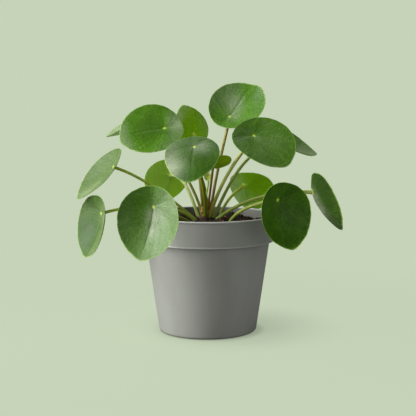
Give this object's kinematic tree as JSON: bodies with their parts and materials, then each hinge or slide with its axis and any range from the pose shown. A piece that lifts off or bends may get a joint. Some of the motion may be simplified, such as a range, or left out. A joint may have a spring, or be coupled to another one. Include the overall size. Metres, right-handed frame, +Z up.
{
  "type": "potted pilea plant",
  "caption": "Pilea houseplant with round umbrella-like leaves on long stalks, growing from soil in a tapered grey plastic nursery pot with a collar, standing on its flat base.",
  "frame": {"origin": "centre of the pot's flat base, on the surface it stands on", "axes": "+Z up along the pot's axis, -Y towards the viewer at the plant's front, +X to the viewer's right, along the leaves' widest spread"},
  "size_m": [0.2376, 0.1448, 0.2228],
  "materials": {
    "pot_plastic": "satin",
    "potting_soil": "matte",
    "woody_stem": "matte",
    "mature_leaf": "satin",
    "young_leaf": "satin",
    "green_stalk": "satin",
    "brown_stalk": "satin"
  },
  "bodies": {
    "root": {"pot": "pot_plastic", "soil": "potting_soil", "stem": "woody_stem", "leaf_far_left_back": "mature_leaf", "stalk_far_left_back": "brown_stalk", "leaf_upper_left": "mature_leaf", "stalk_upper_left": "brown_stalk", "leaf_top_back": "young_leaf", "stalk_top_back": "brown_stalk", "leaf_front_centre": "mature_leaf", "stalk_front_centre": "green_stalk", "leaf_top_right": "mature_leaf", "stalk_top_right": "brown_stalk", "leaf_upper_right": "mature_leaf", "stalk_upper_right": "brown_stalk", "leaf_right_back": "mature_leaf", "stalk_right_back": "green_stalk", "leaf_far_right": "mature_leaf", "stalk_far_right": "green_stalk", "leaf_front_right": "mature_leaf", "stalk_front_right": "green_stalk", "leaf_back_right": "young_leaf", "stalk_back_right": "green_stalk", "leaf_back_left": "young_leaf", "stalk_back_left": "green_stalk", "leaf_front_left": "mature_leaf", "stalk_front_left": "green_stalk", "leaf_low_left": "mature_leaf", "stalk_low_left": "green_stalk", "leaf_high_left": "mature_leaf", "stalk_high_left": "green_stalk", "leaf_inner": "young_leaf", "stalk_inner": "brown_stalk", "leaf_bud": "young_leaf", "stalk_bud": "green_stalk"}
  },
  "joints": []
}
